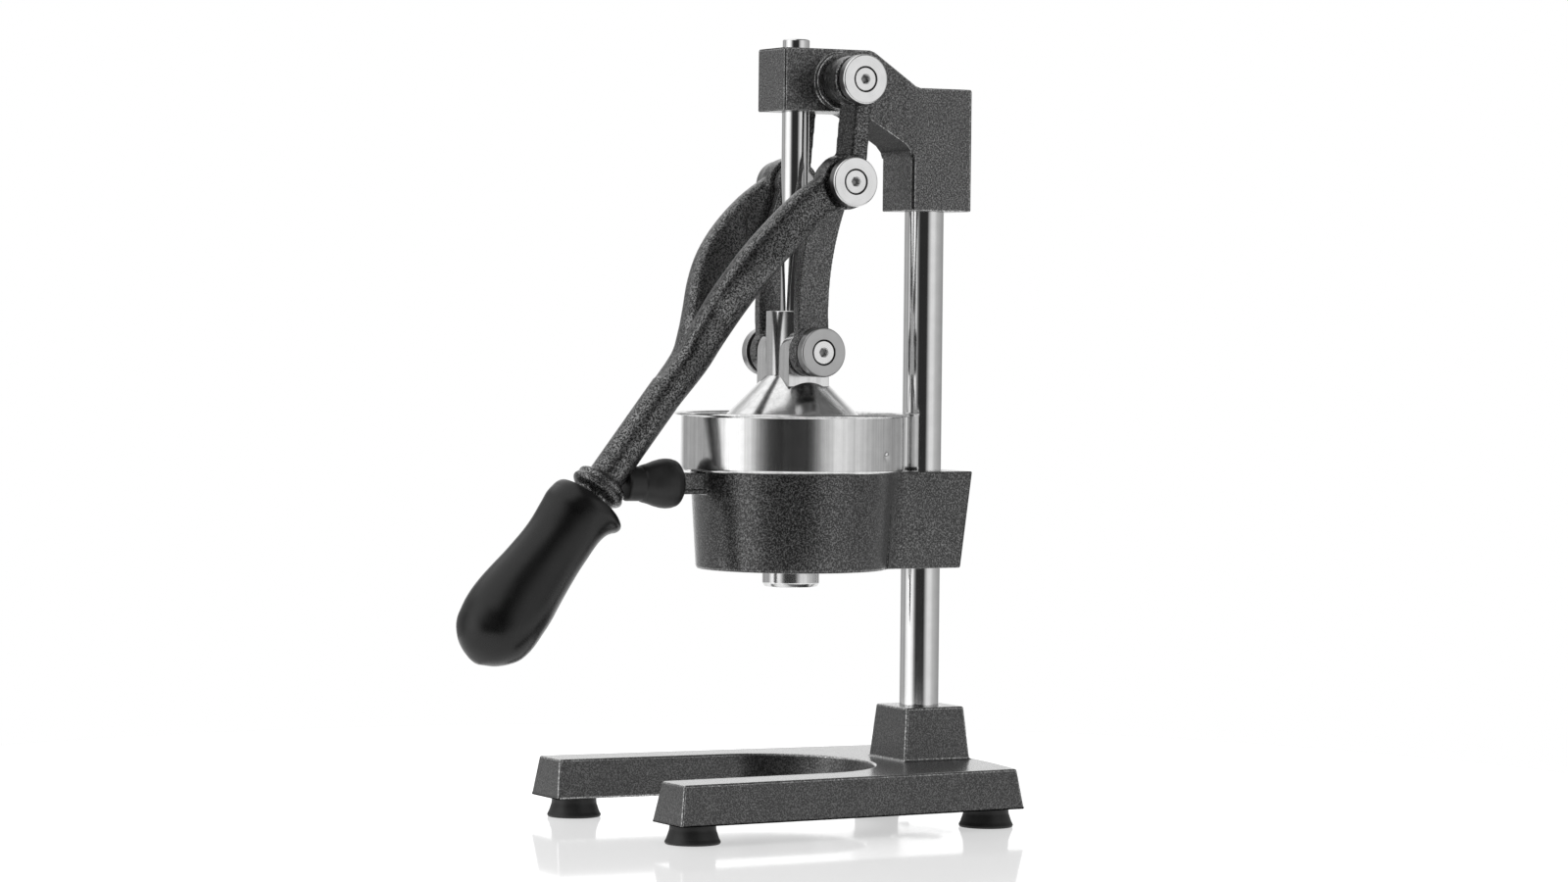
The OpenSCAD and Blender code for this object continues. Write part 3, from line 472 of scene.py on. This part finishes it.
# Near black: painted shade in the countersinks round the screw heads
recess_shade = moulded("recess_painted_shade", 0.012, 0.6, grain=0.3, depth=0.02)
black_oxide = moulded("black_oxide", 0.05, 0.4, grain=0.3, depth=0.02, metal=0.9)
bronze = moulded("bronze_bush", 0.3, 0.45, grain=0.25, depth=0.03, metal=1.0, tint=(1.75, 1.22, 0.55))

# ---- Castings -----------------------------------------------------------------------------

# Painted shade goes on the arch's underside, lower than this, and on the short arms' front faces, which lie
# in this band (metres)
ARCH_Z = 0.389
SHORT_ARM_Z = (0.366, 0.394)

cast("base_skin", "base_casting", 1.2, 3, paint_base, painted_highlight_coat, flat=3)
head = cast("head_skin", "head_casting", 0.75, 2, paint_fine, painted_highlight_coat)
block_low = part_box("head_casting")[0].z
# Painted shade: the arch's underside and the block's front chamfers get the darker paint
repaint(head, painted_shade_coat, lambda p, n: p.z > block_low + MM and (
    (n.z < -0.35 and p.z < ARCH_Z) or (abs(n.x) > 0.4 and n.y < -0.4 and p.y > ROD_Y)))
cast("bracket_skin", "bowl_bracket", 0.8, 3, paint_coarse, paint_coarse)
lever = soft_cast("lever_skin", "lever_casting", 0.8, 3, "lever", paint_lever)
# Painted shade: the front facets of the lever's short arms get the darker paint
repaint(lever, painted_shade_coat, lambda p, n: (
    n.y < -0.6 and abs(n.x) > 0.3 and SHORT_ARM_Z[0] < p.z < SHORT_ARM_Z[1]))
for side in ("left", "right"):
    soft_cast("link_skin_" + side, "link_" + side, 0.5, 2, "link_" + side[0], paint_fine)

# ---- Bars ---------------------------------------------------------------------------------

r, low, high = upright_size("column")
column = lathe("column_bar", rounded([(0, low), (r, low, 1), (r, high, 1), (0, high)]),
               upright(0, COLUMN_Y), 160)
stand_in(column, "frame", "column", rod_chrome)

r, low, high = upright_size("press_rod")
rod = lathe("rod_bar", rounded([(0, low), (r, low), (r, high, 0.9), (0, high)]), upright(0, ROD_Y), 160)
stand_in(rod, "plunger", "press_rod", rod_chrome)

# ---- Caps, screws and spacers ---------------------------------------------------------------

CAP_BORE_R = 3.4
COUNTERSINK_R = 7.15
SCREW_END = 15.5
SOCKET_R = 2.3
SPACER_BORE_R = 5.06


def hex_radius(apothem, angle):
    return apothem / math.cos((angle + math.pi / 6) % (math.pi / 3) - math.pi / 6)


def screw_mesh(name, x_top, side, centre, head_r):
    """Countersunk hex-socket screw along X: a slightly crowned face, a six-sided socket, a plain shank."""
    rows = [("round", 0.0, -SCREW_END), ("round", 3.0, -SCREW_END), ("round", 3.0, -3.5),
            ("round", head_r - 0.12, -0.5), ("round", head_r, -0.38), ("round", head_r, -0.16),
            ("round", head_r - 0.16, 0.0), ("round", head_r - 0.4, 0.01), ("round", 4.4, 0.05),
            ("round", 3.1, 0.06), ("hex", 2.42, 0.04), ("hex", 2.28, -0.1), ("hex", 2.22, -2.3),
            ("hex", 2.1, -2.4), ("round", 0.0, -2.9)]
    verts, rings = [], []
    for kind, r, h in rows:
        if r < TINY:
            add_ring(verts, rings, [(0, 0, h)])
            continue
        reach = [(hex_radius(r, a) if kind == "hex" else r, a) for a in circle(96)]
        add_ring(verts, rings, [(q * math.cos(a), q * math.sin(a), h) for q, a in reach])
    obj = make(name, verts, ring_faces(rings), along_x(side * x_top, centre, side))
    even_normals(obj)
    weighted(obj)
    return obj


# Pivot, its centre, the body its caps ride on, and the thickness of its spacers
PIVOTS = [("a", PIVOT_A, "frame", 2.9), ("b", PIVOT_B, "lever", 3.2), ("c", PIVOT_C, "plunger", 2.3)]

for key, c, body, spacer_t in PIVOTS:
    for name, side in (("left", -1), ("right", 1)):
        node = f"pivot_{key}_cap_{name}"
        lo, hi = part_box(node)
        inner = min(abs(lo.x), abs(hi.x))
        t = (hi.x - lo.x) / MM
        cap_r = (hi.z - lo.z) / 2 / MM
        cap = lathe(f"cap_{key}_{name}", rounded([
            (CAP_BORE_R, 0), (cap_r, 0, 0.6), (cap_r, t, 0.95), (COUNTERSINK_R, t, 0.15),
            (COUNTERSINK_R - 0.4, t - 0.8), (CAP_BORE_R, t - 4.2)], closed=True, steps=5),
            along_x(side * inner, c, side), 160, closed=True)
        stand_in(cap, body, node, cap_metal[key])
        # Painted shade in the countersink round the screw head
        paint_recess_shade(cap, recess_shade, c, COUNTERSINK_R - 0.05, inner + (t - 0.1) * MM)
        if key != "c":
            # Painted shade on the cap's side
            repaint(cap, side_and_socket_shade, lambda p, n: (
                from_axis(p, c) > (cap_r - 0.5) * MM and abs(p.x) < inner + (t - 0.9) * MM))

        lo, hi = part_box(f"pivot_{key}_screws")
        screw = screw_mesh(f"screw_{key}_{name}", hi.x, side, c, (hi.z - lo.z) / 2 / MM)
        stand_in(screw, body, f"pivot_{key}_screws", screw_metal)
        # Painted shade inside the screw's socket
        paint_recess_shade(screw, side_and_socket_shade, c, SOCKET_R, hi.x - 0.04 * MM)

        # The black ring also stands in for shade in the gap between eye and cap
        lo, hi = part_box(f"pivot_{key}_spacers")
        ring_r = (hi.z - lo.z) / 2 / MM
        ring = lathe(f"spacer_{key}_{name}", rounded([
            (SPACER_BORE_R, 0), (ring_r, 0, 0.3), (ring_r, spacer_t, 0.3), (SPACER_BORE_R, spacer_t)],
            closed=True, steps=3), along_x(side * (hi.x - spacer_t * MM), c, side), 96, closed=True)
        stand_in(ring, body, f"pivot_{key}_spacers", black_spacer_and_gap_shade)

# ---- Cup ----------------------------------------------------------------------------------

SHEET = 1.5
SPOUT_R = 15.7
WELL_R = 46.4
FUNNEL_LOW_Z = 149.1
FUNNEL_HIGH_Z = 171.1
FUNNEL_SHEET = 0.8
# A shallow dent in the wall: degrees round from the right side, height (metres), radius and depth
DENT_TURN, DENT_Z, DENT_R, DENT_DEPTH = 29, 0.2025, 3.6, 1.3

rim_r, spout_z, rim_z = upright_size("juice_cup")
shelf_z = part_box("bowl_bracket")[1].z / MM
wall_r = rim_r - 3.6
spout_in = SPOUT_R - SHEET
outside = [
    (spout_in, spout_z + 2.4, 1), (spout_in - 0.6, spout_z + 1, 0.4), (spout_in - 0.8, spout_z, 0.4),
    (spout_in + 0.3, spout_z + 0.2, 0.9), (SPOUT_R, spout_z + 2.2, 1.6), (SPOUT_R, FUNNEL_LOW_Z, 6),
    (WELL_R, FUNNEL_HIGH_Z, 8), (WELL_R, shelf_z, 0.4), (wall_r, shelf_z, 2.4)]
wall = [(wall_r, z) for z in np.arange(shelf_z + 4, rim_z - 3, 0.9)]
rim = [(wall_r, rim_z - 1.7, 0.7), (rim_r - 0.2, rim_z - 1.5, 0.6), (rim_r, rim_z - 0.7, 0.5),
       (rim_r - 0.6, rim_z, 0.5), (wall_r - SHEET, rim_z, 1.2)]
inside = [(wall_r - SHEET, shelf_z + SHEET, 1.6), (WELL_R - SHEET, shelf_z + SHEET, 1),
          (WELL_R - SHEET, FUNNEL_HIGH_Z + FUNNEL_SHEET, 6), (spout_in, FUNNEL_LOW_Z + FUNNEL_SHEET, 5)]
cup = lathe("cup_shell", rounded(outside + wall + rim + inside, closed=True, steps=5),
            upright(0, ROD_Y), 288, closed=True)
bearing = math.radians(DENT_TURN)
dent = Vector((math.cos(bearing), math.sin(bearing), 0)) * wall_r * MM + Vector((0, ROD_Y, DENT_Z))
for v in cup.data.vertices:
    d = (v.co - dent).length / MM
    if d < DENT_R:
        outward = Vector((v.co.x, v.co.y - ROD_Y, 0)).normalized()
        v.co -= outward * DENT_DEPTH * MM * (math.cos(d / DENT_R * math.pi) + 1) / 2
stand_in(cup, "frame", "juice_cup", cup_metal)

# ---- Press cone ---------------------------------------------------------------------------

NECK_R = 15.0
CONE_WALL = 3
BOSS_R = 12.7
BOSS_HALF = 18.5

skirt_r, rim_low, top_z = upright_size("press_cone")
pivot_z = PIVOT_C.z / MM
foot_z = pivot_z - 13
skirt_z = foot_z - (skirt_r - NECK_R)
cone = lathe("press_cone_body", rounded([
    (0, top_z), (NECK_R, top_z, 0.6), (NECK_R, foot_z, 1.2), (skirt_r, skirt_z, 2.0),
    (skirt_r, rim_low, 0.7), (skirt_r - CONE_WALL, rim_low, 0.6), (skirt_r - CONE_WALL, skirt_z - 1.26),
    (12, foot_z - 5.0, 2), (0, foot_z - 5.0)], steps=6), upright(0, ROD_Y), 256)
cone.modifiers.clear()

# The pivot's boss: a half-round block across the neck, sunk into the cone
arc = [math.radians(a) for a in range(0, 181, 4)]
outline = [(BOSS_R * math.cos(a), BOSS_R * math.sin(a)) for a in arc]
outline += [(-BOSS_R, foot_z - 6 - pivot_z), (BOSS_R, foot_z - 6 - pivot_z)]
k = len(outline)
verts = [(x, y + ROD_Y / MM, z + pivot_z) for x in (-BOSS_HALF, BOSS_HALF) for y, z in outline]
faces = [tuple(range(k)), tuple(range(2 * k - 1, k - 1, -1))]
faces += [(i, k + i, k + (i + 1) % k, (i + 1) % k) for i in range(k)]
boss = make("press_boss", verts, faces)
even_normals(boss)
bevel(boss, 0.45, 3, 40)
apply_modifiers(boss)
m = cone.modifiers.new("join", "BOOLEAN")
m.operation = "UNION"
m.solver = "EXACT"
m.object = boss
apply_modifiers(cone)
bpy.data.objects.remove(boss)
cone.data.shade_smooth()
m = cone.modifiers.new("edges", "EDGE_SPLIT")
m.split_angle = math.radians(30)
weighted(cone)
stand_in(cone, "plunger", "press_cone", cone_metal)

# ---- Rubber -------------------------------------------------------------------------------

for node in ("foot_front_left", "foot_front_right", "foot_rear_left", "foot_rear_right"):
    c = mid(node)
    r, low, top = upright_size(node)
    foot = lathe(node + "_pad", rounded([
        (2.6, 4), (5.5, 4, 0.4), (5.5, 0, 0.5), (r - 0.5, 0, 0.5), (r, 1.1, 0.7), (r - 1.0, 3.0, 1.5),
        (12.5, 7.5, 6), (12.3, top - 0.02, 0.4), (2.6, top - 0.02)], closed=True),
        upright(c.x, c.y), 112, closed=True)
    stand_in(foot, "frame", node, rubber)

# Radius and distance from the bumper's front face
BUMPER = [
    (8.6, 0, 0.8), (9.35, 1.0, 0.5), (9.45, 9.4, 0.6), (10.1, 10.4, 0.8), (11.0, 14, 6), (12.4, 18, 6),
    (13.3, 21.6, 8), (13.6, 24.4, 8), (13.4, 27.4, 4), (12.5, 30.4, 3), (10.2, 32.2, 2)]
BUMPER_LENGTH = 32.3
front = Vector((0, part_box("stop_bumper")[0].y, mid("stop_bumper").z))
bumper = lathe("bumper_pad", rounded([(0, 0)] + BUMPER + [(0, BUMPER_LENGTH)]),
               Matrix.Translation(front) @ Matrix.Rotation(-math.pi / 2, 4, "X"), 128)
stand_in(bumper, "frame", "stop_bumper", rubber)

# ---- Grip ---------------------------------------------------------------------------------

# Distance along the grip, reach to the front, reach to the rear, half width
GRIP = [
    (0, 17, 15.6, 16), (0.7, 19.2, 19, 18.4), (2.2, 20.3, 22, 19.4), (4, 21, 22.7, 19.8),
    (6, 21.4, 21.9, 19.8), (8, 21.8, 20, 19.5), (11, 22.1, 18.1, 19), (15, 21.7, 17, 18.4),
    (20, 21.2, 16.6, 18), (28, 20.5, 16.8, 17.7), (36, 20.6, 17, 17.9), (44, 21.3, 17.6, 18.5),
    (52, 22.2, 18.3, 19.4), (60, 23.4, 19.2, 20.4), (68, 24.4, 20.1, 21.4), (76, 24.9, 20.3, 22),
    (83, 24.6, 20.4, 22.1), (89, 23.6, 19.8, 21.4), (94, 22.5, 18.3, 20.2), (98, 20.6, 15.7, 18.2),
    (101.5, 17.8, 12.6, 15.4), (104.5, 14.6, 9.2, 12), (107, 10.3, 4.9, 7.8), (108.6, 5.6, 2, 3.8)]
GRIP_TIP = (0, 2, 109.2)
# The lever's straight bar: its direction, where it starts (metres) and how far down the grip begins
BAR_DIR = Vector((0, -0.612, -0.791)).normalized()
BAR_START = Vector((0, ROD_Y - 0.0761, 0.2389))
GRIP_START = 76


def curve(points, steps):
    """Catmull-Rom through rows of numbers."""
    p = np.array(points, float)
    out = []
    for i in range(len(p) - 1):
        a, b, c, d = p[max(i - 1, 0)], p[i], p[i + 1], p[min(i + 2, len(p) - 1)]
        for k in range(steps):
            t = k / steps
            out.append(0.5 * (2 * b + (c - a) * t + (2 * a - 5 * b + 4 * c - d) * t * t
                              + (3 * b - a - 3 * c + d) * t ** 3))
    out.append(p[-1])
    return np.array(out)


verts, rings = [], []
for d, to_front, to_rear, w in curve(GRIP, 4):
    add_ring(verts, rings, [
        (w * math.cos(a), (to_front if math.sin(a) > 0 else to_rear) * math.sin(a), d)
        for a in circle(96)])
add_ring(verts, rings, [GRIP_TIP])
lean = math.atan2(-BAR_DIR.y, -BAR_DIR.z)
on_bar = (Matrix.Translation(BAR_START + BAR_DIR * GRIP_START * MM)
          @ Matrix.Rotation(math.pi - lean, 4, "X"))
grip = make("grip_body", verts, ring_faces(rings) + [tuple(reversed(rings[0]))], on_bar)
even_normals(grip)
stand_in(grip, "lever", "grip", grip_plastic)

# ---- CAD nodes that stay ------------------------------------------------------------------

STAY = {
    "strainer": sieve_metal,
    "foot_screws": zinc, "column_bolt": zinc, "column_bolt_washer": zinc,
    "head_set_screws": black_oxide, "bracket_set_screws": black_oxide,
    "pivot_a_shaft": shaft_metal, "pivot_c_shaft": shaft_metal, "pivot_b_pins": shaft_metal,
    "pin_head_left": shaft_metal, "pin_head_right": shaft_metal,
    "link_bush_left": bronze, "link_bush_right": bronze, "lever_bushes": bronze,
}
for node, material in STAY.items():
    for slot in nodes[node].material_slots:
        slot.material = material

# ---- Camera -------------------------------------------------------------------------------

# Seen from the front right, a little above the middle; the target is on the press rod's axis
azimuth, elevation, roll = math.radians(61.9), math.radians(1.47), math.radians(0.59)
TARGET = Vector((0, ROD_Y, 0.21))
DISTANCE = 2.50755

scene = bpy.context.scene
scene.view_settings.view_transform = "Standard"
camera = bpy.data.objects.new("camera", bpy.data.cameras.new("camera"))
scene.collection.objects.link(camera)
scene.camera = camera
camera.data.lens = 104.677
camera.data.sensor_width = 36
camera.data.shift_x = -0.0052
camera.data.clip_end = 50
back = Vector((
    math.sin(azimuth) * math.cos(elevation),
    -math.cos(azimuth) * math.cos(elevation),
    math.sin(elevation)))
right = (-back).cross(Vector((0, 0, 1))).normalized()
up = right.cross(-back)
cam_x = right * math.cos(roll) + up * math.sin(roll)
cam_y = up * math.cos(roll) - right * math.sin(roll)
turn = Matrix((cam_x, cam_y, back)).transposed().to_4x4()
camera.matrix_world = Matrix.Translation(TARGET + back * DISTANCE) @ turn

# ---- Light --------------------------------------------------------------------------------

# A studio seen from the camera's side: a dark gap round the camera, soft boxes at its left and right,
# a bright ceiling on the left and a white wall behind the part

# Brightness round the horizon: degrees from the camera's direction, to the right as the camera sees it
ROUND = [
    (-180, 1.0), (-165, 1.0), (-150, 0.35), (-118, 0.5), (-100, 0.35), (-86, 1.1), (-76, 1.1),
    (-70, 1.6), (-60, 1.6), (-54, 1.1), (-46, 1.1), (-35, 0.3), (-24, 0.03), (20, 0.03), (30, 0.42),
    (44, 0.86), (62, 0.86), (80, 0.58), (104, 0.46), (130, 0.38), (150, 0.3), (165, 1.0), (180, 1.0)]
# Where the walls give way to the ceiling and to the dark ground, as the sine of the elevation
CEILING_FROM, CEILING_FULL = 0.36, 0.68
GROUND_FROM, GROUND_FULL = 0.16, 0.36
GROUND_SHADE = 0.88
CEILING_DIM = 0.16
CEILING_LEFT = (0.12, -0.2)

world = bpy.data.worlds.new("studio")
scene.world = world
world.use_nodes = True
world.node_tree.nodes.clear()
sky = Tree(world.node_tree)
ray = sky.add("SeparateXYZ", Vector=sky.new("TexCoord").outputs["Generated"]).outputs


def level_dot(x, y):
    """Dot product of the ray with a level direction."""
    return sky.math("ADD", sky.math("MULTIPLY", ray[0], x), sky.math("MULTIPLY", ray[1], y))


to_camera = level_dot(math.sin(azimuth), -math.cos(azimuth))
to_right = level_dot(math.cos(azimuth), math.sin(azimuth))
around = sky.math("ADD", sky.math("DIVIDE", sky.math("ARCTAN2", to_right, to_camera), 2 * math.pi), 0.5)
# A ramp holds values up to 1, so the brightness is halved in it and doubled after it
wall_light = sky.math("MULTIPLY", sky.ramp(around, [(a / 360 + 0.5, b / 2) for a, b in ROUND]), 2.0)
ceiling = sky.math("ADD", CEILING_DIM, sky.span(to_right, *CEILING_LEFT, smooth=True))
upward = sky.span(ray[2], CEILING_FROM, CEILING_FULL, smooth=True)
level = sky.math("ADD", sky.math("MULTIPLY", wall_light, sky.math("SUBTRACT", 1.0, upward)),
                 sky.math("MULTIPLY", ceiling, upward))
downward = sky.span(sky.math("MULTIPLY", ray[2], -1.0), GROUND_FROM, GROUND_FULL, smooth=True)
level = sky.math("MULTIPLY", level, sky.math("SUBTRACT", 1.0, sky.math("MULTIPLY", downward, GROUND_SHADE)))
studio_light = sky.add("Background", Strength=level, Color=WHITE)
paper = sky.add("Background", Strength=1.0, Color=WHITE)
pick = sky.new("MixShader")
sky.put(pick.inputs[0], sky.new("LightPath").outputs["Is Camera Ray"])
sky.put(pick.inputs[1], studio_light.outputs[0])
sky.put(pick.inputs[2], paper.outputs[0])
sky.put(sky.new("OutputWorld").inputs[0], pick.outputs[0])

# A small glossy disc under the feet
FLOOR_R = 0.62
floor_mesh = bpy.data.meshes.new("floor")
disc = [(FLOOR_R * math.cos(a), FLOOR_R * math.sin(a), 0) for a in circle(96)]
floor_mesh.from_pydata(disc, [], [tuple(range(len(disc)))])
floor = bpy.data.objects.new("floor", floor_mesh)
scene.collection.objects.link(floor)
floor.location.z = -0.0002
floor_white = Finish("floor_white")
floor_white.set(Base_Color=(0.8, 0.8, 0.8, 1), Roughness=0.07)
floor_white.set(Emission_Color=WHITE, Emission_Strength=0.52)
floor_mesh.materials.append(floor_white.mat)
